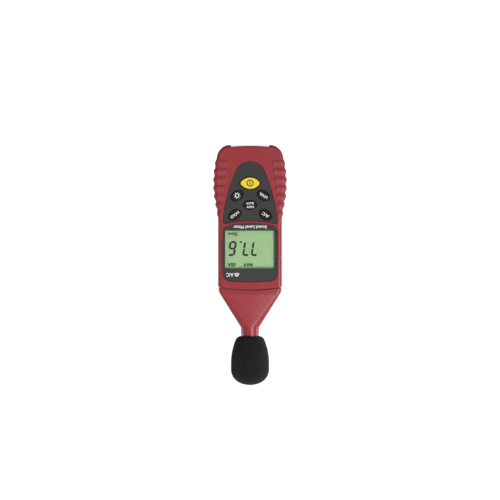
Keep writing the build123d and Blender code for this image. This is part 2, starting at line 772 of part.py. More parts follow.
# ------------------------------------------------------------------ assembly
def build():
    blank = solid_case()
    core = inset_case(GRIP_DEPTH, -HALF_DEPTH + GRIP_DEPTH, HALF_DEPTH - GRIP_DEPTH, -5)
    quarter = grip_quarter(blank, core)
    region = plate(grip_region(), -40, 40)
    grip_cut = region - core
    grip_cut = grip_cut + mirror(grip_cut, about=Plane.YZ)
    front_pair = both(quarter)
    low_x, low_z = CASE_SCREWS[0]
    rear_quarter = mirror(quarter, about=Plane.XZ) - rod_y(low_x, low_z, SCREW_SINK_R, SCREW_SEAT, 40)
    parts = {
        "front_case": front_case(blank, grip_cut),
        "rear_case": rear_case(blank, grip_cut),
        "front_grips": front_pair,
        "rear_grips": both(rear_quarter),
        "mic_nose": mic_nose(),
        "mic_grille": mic_grille(),
        "mic_holder": mic_holder(),
        "mic_capsule": mic_capsule(),
        "mic_leads": mic_leads(),
        "windscreen": windscreen(),
        "window_surround": window_surround(),
        "display_window": display_window(),
        "lcd_glass": lcd_glass(),
        "lcd_holder": lcd_holder(),
        "lcd_connectors": lcd_connectors(),
        "backlight": backlight(),
        "keypad_panel": keypad_panel(),
        "keypad_mat": keypad_mat(),
        "main_pcb": main_pcb(),
        "pcb_screws": pcb_screws(),
        "pcb_chips": pcb_chips(),
        "pcb_passives": pcb_passives(),
        "calibration_pot": calibration_pot(),
        "calibration_rotor": calibration_rotor(),
        "battery_cell": battery_cell(),
        "battery_terminals": battery_terminals(),
        "battery_snap": battery_snap(),
        "battery_leads": battery_leads(),
        "battery_foam": battery_foam(),
        "battery_door": battery_door(),
        "tripod_insert": tripod_insert(),
        "case_screws": case_screws(),
    }
    for name in KEYS:
        parts["key_" + name] = key(name)
    return parts


os.makedirs("parts", exist_ok=True)
for node, shape in build().items():
    solids = shape if isinstance(shape, list) else [shape]
    pieces = [solid for one in solids for solid in one.solids()]
    export_step(pieces[0] if len(pieces) == 1 else Compound(pieces), f"parts/{node}.step")
    print(node, len(pieces))
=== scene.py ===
"""Looks of a handheld sound level meter: camera, light, finishes, foam windscreen, display and legends."""

import json
from math import asin, atan2, cos, pi, radians, sin, sqrt

import bmesh
import bpy
from mathutils import Matrix, Vector, noise


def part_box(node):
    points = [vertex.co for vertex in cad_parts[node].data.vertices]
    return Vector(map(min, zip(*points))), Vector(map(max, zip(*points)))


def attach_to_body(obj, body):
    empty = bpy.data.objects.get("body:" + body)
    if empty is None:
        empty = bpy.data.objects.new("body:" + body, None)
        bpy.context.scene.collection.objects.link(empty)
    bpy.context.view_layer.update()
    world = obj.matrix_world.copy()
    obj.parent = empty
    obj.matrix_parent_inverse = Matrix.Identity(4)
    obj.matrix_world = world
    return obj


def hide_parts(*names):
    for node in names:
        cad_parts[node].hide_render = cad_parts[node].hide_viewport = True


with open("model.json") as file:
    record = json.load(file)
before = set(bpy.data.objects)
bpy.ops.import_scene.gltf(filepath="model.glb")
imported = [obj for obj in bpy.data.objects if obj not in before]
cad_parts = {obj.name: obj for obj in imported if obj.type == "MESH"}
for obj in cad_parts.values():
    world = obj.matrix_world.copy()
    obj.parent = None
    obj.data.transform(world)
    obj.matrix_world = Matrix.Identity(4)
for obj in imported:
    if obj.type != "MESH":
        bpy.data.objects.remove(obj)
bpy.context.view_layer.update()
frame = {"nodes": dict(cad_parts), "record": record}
nodes = frame["nodes"]
MM = 0.001

# ------------------------------------------------------------------ camera
PICTURE_SIZE = 0.43625
CAMERA_DISTANCE = 1.5
FOCUS_DEPTH = 0.010  # the picture size holds this far in front of the middle plane
CAMERA_HEIGHT = 0.0914
SENSOR = 36.0

# ------------------------------------------------------------------ light
LIGHT_DISTANCE = 1.6
AIM_HEIGHT = 0.1
ROOM_STRENGTH = 0.38
BACKDROP_STRENGTH = 1.05
FLOOR_GLOW = 0.75
LIGHTS = (  # name, azimuth, elevation, width, height, power
    ("key_light", -29, 12, 0.13, 1.5, 18),
    ("left_rim", -112, 10, 0.3, 1.3, 11),
    ("right_rim", 112, 10, 0.3, 1.3, 8),
    ("top_light", -27, 34, 0.26, 0.24, 9),
)

# ------------------------------------------------------------------ display, in the frame's X and Z
DIGIT_BASE = 83.6 * MM
DIGIT_HEIGHT = 13.1 * MM
DIGIT_WIDTH = 6.5 * MM
DIGIT_STROKE = 1.8 * MM
DIGIT_SLANT = 0.155
DIGIT_PITCH = 7.4 * MM
POINT_PITCH = 12.7 * MM  # step across the decimal point
LAST_DIGIT = 11.2 * MM
FILM = 0.02 * MM

# ------------------------------------------------------------------ print
INK = 0.02 * MM
CAPITAL_SHARE = 0.69  # a capital's height as a share of the font's size


def tone(red, green, blue):
    """Linear colour of an 8-bit display colour."""
    return tuple(_linear(part / 255) for part in (red, green, blue)) + (1.0,)


def _linear(part):
    return part / 12.92 if part <= 0.04045 else ((part + 0.055) / 1.055) ** 2.4


# ------------------------------------------------------------------ stage
def add_camera():
    """Long lens in front of the meter, rolled half a turn, so the windscreen points down the picture."""
    data = bpy.data.cameras.new("camera")
    data.sensor_width = SENSOR
    data.lens = SENSOR * (CAMERA_DISTANCE - FOCUS_DEPTH) / PICTURE_SIZE
    data.clip_end = 50
    camera = bpy.data.objects.new("camera", data)
    bpy.context.scene.collection.objects.link(camera)
    turn = Matrix(((-1, 0, 0), (0, 0, -1), (0, -1, 0))).to_4x4()
    camera.matrix_world = Matrix.Translation((0, -CAMERA_DISTANCE, CAMERA_HEIGHT)) @ turn
    bpy.context.scene.camera = camera


def add_softbox(name, azimuth, elevation, width, height, power):
    """Rectangular studio light aimed at the middle of the meter, its azimuth counted towards +X."""
    level = LIGHT_DISTANCE * cos(radians(elevation))
    place = (level * sin(radians(azimuth)), -level * cos(radians(azimuth)),
             AIM_HEIGHT + LIGHT_DISTANCE * sin(radians(elevation)))
    data = bpy.data.lights.new(name, "AREA")
    data.shape = "RECTANGLE"
    data.size = width
    data.size_y = height
    data.energy = power
    light = bpy.data.objects.new(name, data)
    bpy.context.scene.collection.objects.link(light)
    light.location = place
    aim = Vector((0, 0, AIM_HEIGHT)) - Vector(place)
    light.rotation_euler = aim.to_track_quat("-Z", "Y").to_euler()


def add_world():
    """White behind the meter, and a dimmer grey room for its light and reflections."""
    world = bpy.data.worlds.new("studio")
    bpy.context.scene.world = world
    world.use_nodes = True
    tree = world.node_tree
    tree.nodes.clear()
    output = tree.nodes.new("ShaderNodeOutputWorld")
    mix = tree.nodes.new("ShaderNodeMixShader")
    path = tree.nodes.new("ShaderNodeLightPath")
    room = tree.nodes.new("ShaderNodeBackground")
    room.inputs["Color"].default_value = (1, 1, 1, 1)
    room.inputs["Strength"].default_value = ROOM_STRENGTH
    white = tree.nodes.new("ShaderNodeBackground")
    white.inputs["Color"].default_value = (1, 1, 1, 1)
    white.inputs["Strength"].default_value = BACKDROP_STRENGTH
    tree.links.new(path.outputs["Is Camera Ray"], mix.inputs["Fac"])
    tree.links.new(room.outputs["Background"], mix.inputs[1])
    tree.links.new(white.outputs["Background"], mix.inputs[2])
    tree.links.new(mix.outputs["Shader"], output.inputs["Surface"])


def add_floor():
    """Plain pale floor, bright enough to meet the white background, with a soft contact shadow."""
    mesh = bpy.data.meshes.new("floor")
    half = 12.0
    corners = [(-half, -half, 0), (half, -half, 0), (half, half, 0), (-half, half, 0)]
    mesh.from_pydata(corners, [], [(0, 1, 2, 3)])
    floor = bpy.data.objects.new("floor", mesh)
    bpy.context.scene.collection.objects.link(floor)
    material, tree, shader = new_material("floor_paint")
    speckle = noise_field(tree, 3 * MM, detail=2)
    blend_colours(tree, shader, speckle, (0.80, 0.80, 0.80, 1), (0.83, 0.83, 0.83, 1))
    shader.inputs["Roughness"].default_value = 0.9
    shader.inputs["Specular IOR Level"].default_value = 0.0
    shader.inputs["Emission Color"].default_value = (1, 1, 1, 1)
    shader.inputs["Emission Strength"].default_value = FLOOR_GLOW
    mesh.materials.append(material)
    floor.visible_diffuse = False
    floor.visible_glossy = False


# ------------------------------------------------------------------ material parts
NOISE_ROUGHNESS = 0.55


def new_material(name):
    material = bpy.data.materials.new(name)
    material.use_nodes = True
    tree = material.node_tree
    tree.nodes.clear()
    output = tree.nodes.new("ShaderNodeOutputMaterial")
    shader = tree.nodes.new("ShaderNodeBsdfPrincipled")
    tree.links.new(shader.outputs["BSDF"], output.inputs["Surface"])
    return material, tree, shader


def place_vector(tree, stretch=(1, 1, 1)):
    """The piece's own coordinates, scaled along each axis."""
    place = tree.nodes.new("ShaderNodeTexCoord")
    if stretch == (1, 1, 1):
        return place.outputs["Object"]
    mapping = tree.nodes.new("ShaderNodeMapping")
    mapping.inputs["Scale"].default_value = stretch
    tree.links.new(place.outputs["Object"], mapping.inputs["Vector"])
    return mapping.outputs["Vector"]


def noise_field(tree, size, detail, stretch=(1, 1, 1)):
    """Soft random field whose features measure about size."""
    texture = tree.nodes.new("ShaderNodeTexNoise")
    texture.inputs["Scale"].default_value = 1 / size
    texture.inputs["Detail"].default_value = detail
    texture.inputs["Roughness"].default_value = NOISE_ROUGHNESS
    tree.links.new(place_vector(tree, stretch), texture.inputs["Vector"])
    return texture.outputs["Fac"]


def cell_field(tree, size):
    """Distance inside random cells that measure about size."""
    texture = tree.nodes.new("ShaderNodeTexVoronoi")
    texture.feature = "F1"
    texture.inputs["Scale"].default_value = 1 / size
    texture.inputs["Randomness"].default_value = 1.0
    tree.links.new(place_vector(tree), texture.inputs["Vector"])
    return texture.outputs["Distance"]


def spread(tree, field, low, high, start=0.3, stop=0.7):
    """The field's middle range, stretched to run from low to high."""
    remap = tree.nodes.new("ShaderNodeMapRange")
    remap.inputs["From Min"].default_value = start
    remap.inputs["From Max"].default_value = stop
    remap.inputs["To Min"].default_value = low
    remap.inputs["To Max"].default_value = high
    tree.links.new(field, remap.inputs["Value"])
    return remap.outputs["Result"]


def mixed(tree, factor, first, second):
    """Colour between two colours or colour outputs."""
    mix = tree.nodes.new("ShaderNodeMix")
    mix.data_type = "RGBA"
    tree.links.new(factor, mix.inputs["Factor"])
    for socket, value in (("A", first), ("B", second)):
        target = next(i for i in mix.inputs if i.name == socket and i.type == "RGBA")
        if isinstance(value, tuple):
            target.default_value = value
        else:
            tree.links.new(value, target)
    return next(o for o in mix.outputs if o.type == "RGBA")


def blend_colours(tree, shader, factor, first, second):
    tree.links.new(mixed(tree, factor, first, second), shader.inputs["Base Color"])


def add_bump(tree, shader, height, depth, after=None):
    """Surface relief of that depth, on top of an earlier one if given."""
    bump = tree.nodes.new("ShaderNodeBump")
    bump.inputs["Distance"].default_value = depth
    bump.inputs["Strength"].default_value = 1.0
    tree.links.new(height, bump.inputs["Height"])
    if after is not None:
        tree.links.new(after, bump.inputs["Normal"])
    tree.links.new(bump.outputs["Normal"], shader.inputs["Normal"])
    return bump.outputs["Normal"]


def edge_mask(tree, radius, gain):
    """Near 1 on the piece's sharp edges and 0 on its faces."""
    bevel = tree.nodes.new("ShaderNodeBevel")
    bevel.samples = 6
    bevel.inputs["Radius"].default_value = radius
    flat = tree.nodes.new("ShaderNodeNewGeometry")
    dot = tree.nodes.new("ShaderNodeVectorMath")
    dot.operation = "DOT_PRODUCT"
    tree.links.new(bevel.outputs["Normal"], dot.inputs[0])
    tree.links.new(flat.outputs["Normal"], dot.inputs[1])
    return spread(tree, dot.outputs["Value"], gain, 0.0, 0.80, 0.995)


def painted_shade_mask(tree, reach):
    """Near 1 in narrow grooves and corners and 0 on open faces, for painting shade into them."""
    cavity = tree.nodes.new("ShaderNodeAmbientOcclusion")
    cavity.samples = 8
    cavity.inputs["Distance"].default_value = reach
    return spread(tree, cavity.outputs["AO"], 1.0, 0.0, 0.25, 0.92)


def scaled(colour, factor):
    return tuple(min(1.0, part * factor) for part in colour[:3]) + (1.0,)


# ------------------------------------------------------------------ materials
def moulded(name, colour, rough, grain=0.14 * MM, depth=0.006 * MM, mottle=0.05, specular=0.5,
            edge_highlight=None, edge_highlight_amount=0.35, cavity=0.0):
    """Injection moulded plastic or rubber: faint mottling, spark-eroded grain, edges painted lighter as a
    painted highlight, grooves painted darker as painted shade.
    """
    material, tree, shader = new_material(name)
    patches = noise_field(tree, 9 * MM, detail=4)
    face = mixed(tree, spread(tree, patches, 0, 1), scaled(colour, 1 - mottle), scaled(colour, 1 + mottle))
    # Painted highlight: the sharp edges are mixed towards a lighter colour.
    if edge_highlight is not None:
        face = mixed(tree, edge_mask(tree, 0.45 * MM, edge_highlight_amount), face, edge_highlight)
    # Painted shade: narrow grooves, seams and corners, found by ambient occlusion, are mixed towards a
    # much darker colour.
    if cavity:
        face = mixed(tree, painted_shade_mask(tree, cavity), face, scaled(colour, 0.25))
    tree.links.new(face, shader.inputs["Base Color"])
    handling = noise_field(tree, 3.5 * MM, detail=5)
    tree.links.new(spread(tree, handling, rough - 0.04, rough + 0.05), shader.inputs["Roughness"])
    shader.inputs["Specular IOR Level"].default_value = specular
    add_bump(tree, shader, noise_field(tree, grain, detail=2), depth)
    return material


def printed(name, colour, rough=0.5):
    """Screen-printed ink, slightly uneven."""
    material, tree, shader = new_material(name)
    cover = noise_field(tree, 0.35 * MM, detail=3)
    blend_colours(tree, shader, spread(tree, cover, 0, 1), scaled(colour, 0.95), scaled(colour, 1.04))
    shader.inputs["Roughness"].default_value = rough
    shader.inputs["Specular IOR Level"].default_value = 0.3
    add_bump(tree, shader, cover, 0.003 * MM)
    return material


def metal(name, colour, rough, scratch=(1, 1, 1), scratch_size=0.25 * MM):
    """Bare metal with fine machining or handling marks."""
    material, tree, shader = new_material(name)
    tarnish = noise_field(tree, 2.5 * MM, detail=5)
    blend_colours(tree, shader, spread(tree, tarnish, 0, 1), scaled(colour, 0.88), scaled(colour, 1.05))
    shader.inputs["Metallic"].default_value = 1.0
    marks = noise_field(tree, scratch_size, detail=4, stretch=scratch)
    tree.links.new(spread(tree, marks, rough - 0.07, rough + 0.09), shader.inputs["Roughness"])
    add_bump(tree, shader, marks, 0.004 * MM)
    return material


def clear_plastic(name):
    """Clear window: see-through face on, glossy at a glance, with faint wipe marks in its gloss."""
    material = bpy.data.materials.new(name)
    material.use_nodes = True
    tree = material.node_tree
    tree.nodes.clear()
    output = tree.nodes.new("ShaderNodeOutputMaterial")
    mix = tree.nodes.new("ShaderNodeMixShader")
    through = tree.nodes.new("ShaderNodeBsdfTransparent")
    through.inputs["Color"].default_value = (0.97, 0.975, 0.97, 1)
    gloss = tree.nodes.new("ShaderNodeBsdfGlossy")
    gloss.inputs["Color"].default_value = (1, 1, 1, 1)
    wipes = noise_field(tree, 4 * MM, detail=5, stretch=(1, 1, 6))
    tree.links.new(spread(tree, wipes, 0.03, 0.09), gloss.inputs["Roughness"])
    glance = tree.nodes.new("ShaderNodeLayerWeight")
    glance.inputs["Blend"].default_value = 0.5
    power = tree.nodes.new("ShaderNodeMath")
    power.operation = "POWER"
    power.inputs[1].default_value = 5.0
    tree.links.new(glance.outputs["Facing"], power.inputs[0])
    tree.links.new(spread(tree, power.outputs["Value"], 0.035, 1.0, 0.0, 1.0), mix.inputs["Fac"])
    tree.links.new(through.outputs["BSDF"], mix.inputs[1])
    tree.links.new(gloss.outputs["BSDF"], mix.inputs[2])
    tree.links.new(mix.outputs["Shader"], output.inputs["Surface"])
    return material


def lcd_face(name):
    """Reflective liquid crystal: grey-green with a fine sparkle from its rear foil."""
    material, tree, shader = new_material(name)
    drift = noise_field(tree, 18 * MM, detail=2)
    foil = noise_field(tree, 0.09 * MM, detail=1)
    green = mixed(tree, spread(tree, drift, 0, 1), tone(162, 199, 144), tone(167, 204, 150))
    blend_colours(tree, shader, spread(tree, foil, 0, 0.35), green, tone(182, 218, 164))
    shader.inputs["Roughness"].default_value = 0.35
    shader.inputs["Specular IOR Level"].default_value = 0.25
    add_bump(tree, shader, foil, 0.002 * MM)
    return material


def open_foam(name):
    """Open-cell black foam: dark pores between slightly lighter struts, the pores' darkness being painted
    shade.
    """
    material, tree, shader = new_material(name)
    pores = cell_field(tree, 0.62 * MM)
    fine = cell_field(tree, 0.34 * MM)
    clumps = noise_field(tree, 2.2 * MM, detail=4)
    wall = mixed(tree, spread(tree, clumps, 0, 1), tone(27, 26, 29), tone(37, 36, 39))
    # Painted shade: the fine cells and the pores are mixed towards near-black inside.
    shallow = mixed(tree, spread(tree, fine, 0, 1, 0.15, 0.55), tone(17, 16, 18), wall)
    blend_colours(tree, shader, spread(tree, pores, 0, 1, 0.12, 0.50), tone(10, 10, 11), shallow)
    shader.inputs["Roughness"].default_value = 0.95
    shader.inputs["Specular IOR Level"].default_value = 0.15
    shader.inputs["Sheen Weight"].default_value = 0.06
    shader.inputs["Sheen Roughness"].default_value = 0.5
    first = add_bump(tree, shader, fine, 0.06 * MM)
    add_bump(tree, shader, pores, 0.14 * MM, after=first)
    return material


def circuit_board(name):
    """Green solder mask over a lighter maze of copper tracks."""
    material, tree, shader = new_material(name)
    brick = tree.nodes.new("ShaderNodeTexBrick")
    brick.inputs["Scale"].default_value = 240
    brick.inputs["Mortar Size"].default_value = 0.09
    brick.inputs["Color1"].default_value = tone(18, 74, 40)
    brick.inputs["Color2"].default_value = tone(22, 84, 46)
    brick.inputs["Mortar"].default_value = tone(46, 122, 70)
    turn = tree.nodes.new("ShaderNodeMapping")
    turn.inputs["Rotation"].default_value = (pi / 2, 0, 0)
    tree.links.new(place_vector(tree), turn.inputs["Vector"])
    tree.links.new(turn.outputs["Vector"], brick.inputs["Vector"])
    blotch = noise_field(tree, 7 * MM, detail=3)
    blend_colours(tree, shader, spread(tree, blotch, 0, 0.5), brick.outputs["Color"], tone(16, 66, 36))
    shader.inputs["Roughness"].default_value = 0.32
    shader.inputs["Coat Weight"].default_value = 0.3
    add_bump(tree, shader, brick.outputs["Fac"], 0.03 * MM)
    return material


def soft_foam(name):
    """Grey closed-cell packing foam."""
    material, tree, shader = new_material(name)
    cells = cell_field(tree, 0.5 * MM)
    blend_colours(tree, shader, spread(tree, cells, 0, 1, 0.1, 0.6), tone(58, 58, 60), tone(96, 96, 98))
    shader.inputs["Roughness"].default_value = 0.95
    add_bump(tree, shader, cells, 0.12 * MM)
    return material


def make_materials():
    red = tone(150, 46, 52)
    return {
        # The red finishes carry a painted highlight on their edges and painted shade in their grooves.
        "red_shell": moulded("red_shell", red, 0.32, edge_highlight=tone(190, 104, 104), edge_highlight_amount=0.45,
                             cavity=1.6 * MM),
        "red_grip": moulded("red_grip", tone(146, 46, 53), 0.52, grain=0.22 * MM, depth=0.012 * MM,
                            specular=0.4, edge_highlight=tone(178, 84, 90), edge_highlight_amount=0.3, cavity=3.2 * MM),
        "windscreen_foam": open_foam("windscreen_foam"),
        "foam": soft_foam("battery_foam"),
        "grille": metal("grille", tone(120, 120, 122), 0.42),
        "black_rubber": moulded("black_rubber", tone(30, 30, 31), 0.7, specular=0.25),
        "capsule": metal("capsule", tone(190, 190, 186), 0.3, scratch=(1, 1, 20)),
        "wire": moulded("wire_insulation", tone(34, 34, 36), 0.45),
        "dark_panel": moulded("dark_panel", tone(51, 50, 49), 0.55, grain=0.18 * MM, depth=0.008 * MM,
                              mottle=0.04, specular=0.35),
        "clear_window": clear_plastic("clear_window"),
        "lcd": lcd_face("lcd"),
        "white_plastic": moulded("white_plastic", tone(222, 222, 218), 0.45),
        "light_guide": moulded("light_guide", tone(226, 232, 226), 0.25),
        "grey_rubber": moulded("grey_rubber", tone(84, 86, 90), 0.65, specular=0.3),
        "board": circuit_board("board"),
        "steel": metal("steel", tone(176, 176, 178), 0.3, scratch_size=0.15 * MM),
        "chip": moulded("chip_resin", tone(28, 28, 30), 0.55, grain=0.08 * MM),
        "pot_blue": moulded("pot_blue", tone(28, 78, 160), 0.4),
        "brass": metal("brass", tone(200, 160, 86), 0.28, scratch_size=0.2 * MM),
        "cell_jacket": moulded("cell_jacket", tone(44, 60, 92), 0.35, mottle=0.12),
        "black_plastic": moulded("black_plastic", tone(30, 30, 32), 0.5),
        "yellow_key": moulded("yellow_key", tone(240, 212, 52), 0.42, depth=0.004 * MM, specular=0.4),
        "black_key": moulded("black_key", tone(22, 21, 22), 0.50, specular=0.22, mottle=0.10),
    }


# ------------------------------------------------------------------ small solids
def link_mesh(name, shell, material):
    mesh = bpy.data.meshes.new(name)
    bmesh.ops.recalc_face_normals(shell, faces=shell.faces)
    shell.to_mesh(mesh)
    shell.free()
    mesh.materials.append(material)
    piece = bpy.data.objects.new(name, mesh)
    bpy.context.scene.collection.objects.link(piece)
    return piece


def attach(piece, body):
    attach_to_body(piece, body)


def add_prism(shell, outline, front, back):
    """Closed prism whose outline, in X and Z, runs from Y front to Y back."""
    near = [shell.verts.new((x, front, z)) for x, z in outline]
    far = [shell.verts.new((x, back, z)) for x, z in outline]
    shell.faces.new(near)
    shell.faces.new(list(reversed(far)))
    for here, after in zip(range(len(outline)), list(range(1, len(outline))) + [0]):
        shell.faces.new((near[after], near[here], far[here], far[after]))


def add_band(shell, inner, outer, front, back):
    """Closed prism between two outlines with as many points as each other."""
    loops = [
        [shell.verts.new((x, y, z)) for x, z in outline]
        for outline, y in ((outer, front), (inner, front), (inner, back), (outer, back))
    ]
    count = len(inner)
    for first, second in zip(loops, loops[1:] + loops[:1]):
        for i in range(count):
            j = (i + 1) % count
            shell.faces.new((first[i], first[j], second[j], second[i]))


def circle(x, z, radius, count=48):
    return [(x + radius * cos(2 * pi * i / count), z + radius * sin(2 * pi * i / count))
            for i in range(count)]


def rounded_bar(x, z, length, width, angle, count=8):
    """Bar with round ends, centred on (x, z) and turned by angle."""
    points = []
    for end in (0, 1):
        for i in range(count + 1):
            a = -pi / 2 + pi * i / count + end * pi
            along = (length - width) / 2 * (1 - 2 * end) + width / 2 * cos(a)
            across = width / 2 * sin(a)
            points.append((x + along * cos(angle) - across * sin(angle),
                           z + along * sin(angle) + across * cos(angle)))
    return points


def lettering(name, text, x, z, height, front, material, width, bold, tilt=0.0):
    """Raised ink letters on the front, centred on (x, z), as one closed mesh."""
    data = bpy.data.curves.new(name, "FONT")
    data.body = text
    data.align_x = "CENTER"
    data.align_y = "CENTER"
    data.size = height / CAPITAL_SHARE
    data.extrude = INK
    data.offset = bold
    data.resolution_u = 4
    letters = bpy.data.objects.new(name + "_curve", data)
    bpy.context.scene.collection.objects.link(letters)
    bpy.context.view_layer.update()
    mesh = bpy.data.meshes.new_from_object(letters.evaluated_get(bpy.context.evaluated_depsgraph_get()))
    bpy.data.objects.remove(letters)
    shell = bmesh.new()
    shell.from_mesh(mesh)
    bmesh.ops.remove_doubles(shell, verts=shell.verts, dist=1e-7)
    xs = [v.co.x for v in shell.verts]
    ys = [v.co.y for v in shell.verts]
    middle = Vector(((min(xs) + max(xs)) / 2, (min(ys) + max(ys)) / 2, 0))
    stretch = width / (max(xs) - min(xs))
    rise = height / (max(ys) - min(ys))
    for vert in shell.verts:
        vert.co = vert.co - middle
        vert.co.x *= stretch
        vert.co.y *= rise
    turn = Matrix.Rotation(-tilt, 4, "Y") @ Matrix.Rotation(pi / 2, 4, "X")
    bmesh.ops.transform(shell, matrix=Matrix.Translation((x, front, z)) @ turn, verts=shell.verts)
    return link_mesh(name, shell, material)


# ------------------------------------------------------------------ foam windscreen
FOAM_CELL = 1.05 * MM
FOAM_STEP = 0.42 * MM
FOAM_PIT = 0.30 * MM
FOAM_SAG = 0.22 * MM
FOAM_SAG_SIZE = 7 * MM
CELL_REACH = 0.62  # a pit's reach as a share of the cell's size
CAP_R = 22.0 * MM  # blunt top of the dome
SHOULDER_R = 13.0 * MM  # between the blunt top and the side
CAP_STEPS = 20
SHOULDER_STEPS = 30
SKIRT_TOP = 190.0 * MM
SKIRT_MIDDLE = (15.5 * MM, 179.0 * MM)
SKIRT_FOOT = (12.9 * MM, 170.6 * MM)
HEEL_MIDDLE = (11.6 * MM, 168.5 * MM)
BASE_R = 8.4 * MM
FOAM_BORE = 7.0 * MM
FOAM_BORE_TOP = 194.0 * MM
FOAM_BORE_TIP = 0.4 * MM  # where the bore's end closes to a point


def walk(points, step):
    """Points along a polyline, about a step apart."""
    route = [points[0]]
    for (r0, z0), (r1, z1) in zip(points, points[1:]):
        length = sqrt((r1 - r0) ** 2 + (z1 - z0) ** 2)
        parts = max(1, round(length / step))
        route += [(r0 + (r1 - r0) * i / parts, z0 + (z1 - z0) * i / parts) for i in range(1, parts + 1)]
    return route


def arc_through(start, middle, stop, count=24):
    """Points of the circle arc that starts at start, passes middle and ends at stop."""
    (ax, ay), (bx, by), (cx, cy) = start, middle, stop
    d = 2 * (ax * (by - cy) + bx * (cy - ay) + cx * (ay - by))
    a2, b2, c2 = ax * ax + ay * ay, bx * bx + by * by, cx * cx + cy * cy
    centre = Vector(((a2 * (by - cy) + b2 * (cy - ay) + c2 * (ay - by)) / d,
                     (a2 * (cx - bx) + b2 * (ax - cx) + c2 * (bx - ax)) / d))
    first, last = Vector(start) - centre, Vector(stop) - centre
    sweep = first.angle_signed(last)
    points = []
    for i in range(count + 1):
        a = sweep * i / count
        points.append((centre.x + first.x * cos(a) + first.y * sin(a),
                       centre.y - first.x * sin(a) + first.y * cos(a)))
    return points


def foam_profile():
    """Outer line of the windscreen: blunt dome, shoulder, tapering skirt, heel and bored base."""
    low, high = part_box("windscreen")
    radius, base = high.x, low.z
    cap = high.z - CAP_R
    side = radius - SHOULDER_R
    middle = cap + sqrt((CAP_R - SHOULDER_R) ** 2 - side ** 2)
    lean = atan2(side, middle - cap)
    dome = [(CAP_R * sin(lean * i / CAP_STEPS), cap + CAP_R * cos(lean * i / CAP_STEPS))
            for i in range(CAP_STEPS + 1)]
    for i in range(1, SHOULDER_STEPS + 1):
        a = lean + (pi / 2 - lean) * i / SHOULDER_STEPS
        dome.append((side + SHOULDER_R * sin(a), middle + SHOULDER_R * cos(a)))
    skirt = arc_through((radius, SKIRT_TOP), SKIRT_MIDDLE, SKIRT_FOOT)
    heel = arc_through(SKIRT_FOOT, HEEL_MIDDLE, (BASE_R, base))
    return walk(dome + skirt + heel[1:], FOAM_STEP)


def foam_relief(place):
    """Depth of the open cells and the broad unevenness at a place on the foam."""
    distances, _ = noise.voronoi(place / FOAM_CELL)
    pit = max(0.0, 1 - distances[0] / CELL_REACH)
    sag = 0.5 + 0.5 * noise.noise(place / FOAM_SAG_SIZE)
    return FOAM_PIT * pit * (2 - pit) * 0.5 + FOAM_SAG * sag * 0.5


def make_windscreen(material):
    """Ball of open-cell foam with its skin of cut cells, bored for the microphone."""
    low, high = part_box("windscreen")
    outer = foam_profile()
    wall = [(BASE_R, low.z), (FOAM_BORE, low.z), (FOAM_BORE, FOAM_BORE_TOP),
            (FOAM_BORE_TIP, FOAM_BORE_TOP)]
    inner = walk(wall, 2 * MM)
    count = int(2 * pi * high.x / FOAM_STEP)
    shell = bmesh.new()
    rings = []
    for index, (radius, z) in enumerate(outer[1:] + inner[1:]):
        outside = index < len(outer) - 1
        ring = []
        for i in range(count):
            a = 2 * pi * (i + 0.5 * (index % 2)) / count
            place = Vector((radius * cos(a), radius * sin(a), z))
            if outside:
                centre = Vector((0, 0, min(max(z, low.z + 8 * MM), high.z - high.x)))
                away = (place - centre).normalized()
                ease = min(1.0, (len(outer) - 1 - index) / 6)
                place -= away * foam_relief(place) * ease
            ring.append(shell.verts.new(place))
        rings.append(ring)
    top = shell.verts.new((0, 0, high.z - FOAM_SAG * 0.4))
    end = shell.verts.new((0, 0, FOAM_BORE_TOP))
    for i in range(count):
        j = (i + 1) % count
        shell.faces.new((top, rings[0][i], rings[0][j]))
        shell.faces.new((end, rings[-1][j], rings[-1][i]))
        for here, below in zip(rings, rings[1:]):
            shell.faces.new((here[i], below[i], below[j], here[j]))
    piece = link_mesh("windscreen_foam", shell, material)
    for face in piece.data.polygons:
        face.use_smooth = True
    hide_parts("windscreen")
    attach(piece, "windscreen")


# ------------------------------------------------------------------ display contents
SEGMENTS = {
    "a": ((0, 2), (1, 2)), "b": ((1, 2), (1, 1)), "c": ((1, 1), (1, 0)), "d": ((0, 0), (1, 0)),
    "e": ((0, 1), (0, 0)), "f": ((0, 2), (0, 1)), "g": ((0, 1), (1, 1)),
}
SHAPES = {"6": "acdefg", "7": "abc", "8": "abcdefg"}
SEGMENT_GAP = 0.03 * MM


def segment_outline(name, left, base):
    """One bar of a leaning seven-segment digit, with pointed ends."""
    half = DIGIT_STROKE / 2
    start, stop = SEGMENTS[name]
    across = DIGIT_WIDTH - DIGIT_STROKE
    up = (DIGIT_HEIGHT - DIGIT_STROKE) / 2
    first = Vector((half + start[0] * across, half + start[1] * up))
    last = Vector((half + stop[0] * across, half + stop[1] * up))
    along = (last - first).normalized()
    side = Vector((-along.y, along.x)) * half
    first = first + along * SEGMENT_GAP
    last = last - along * SEGMENT_GAP
    corners = [first, first + along * half + side, last - along * half + side,
               last, last - along * half - side, first + along * half - side]
    return [(left + p.x + DIGIT_SLANT * p.y, base + p.y) for p in corners]


def add_digit(name, bars, left, front, material):
    shell = bmesh.new()
    for bar in bars:
        add_prism(shell, segment_outline(bar, left, DIGIT_BASE), front - FILM, front + FILM)
    attach(link_mesh(name, shell, material), "root")


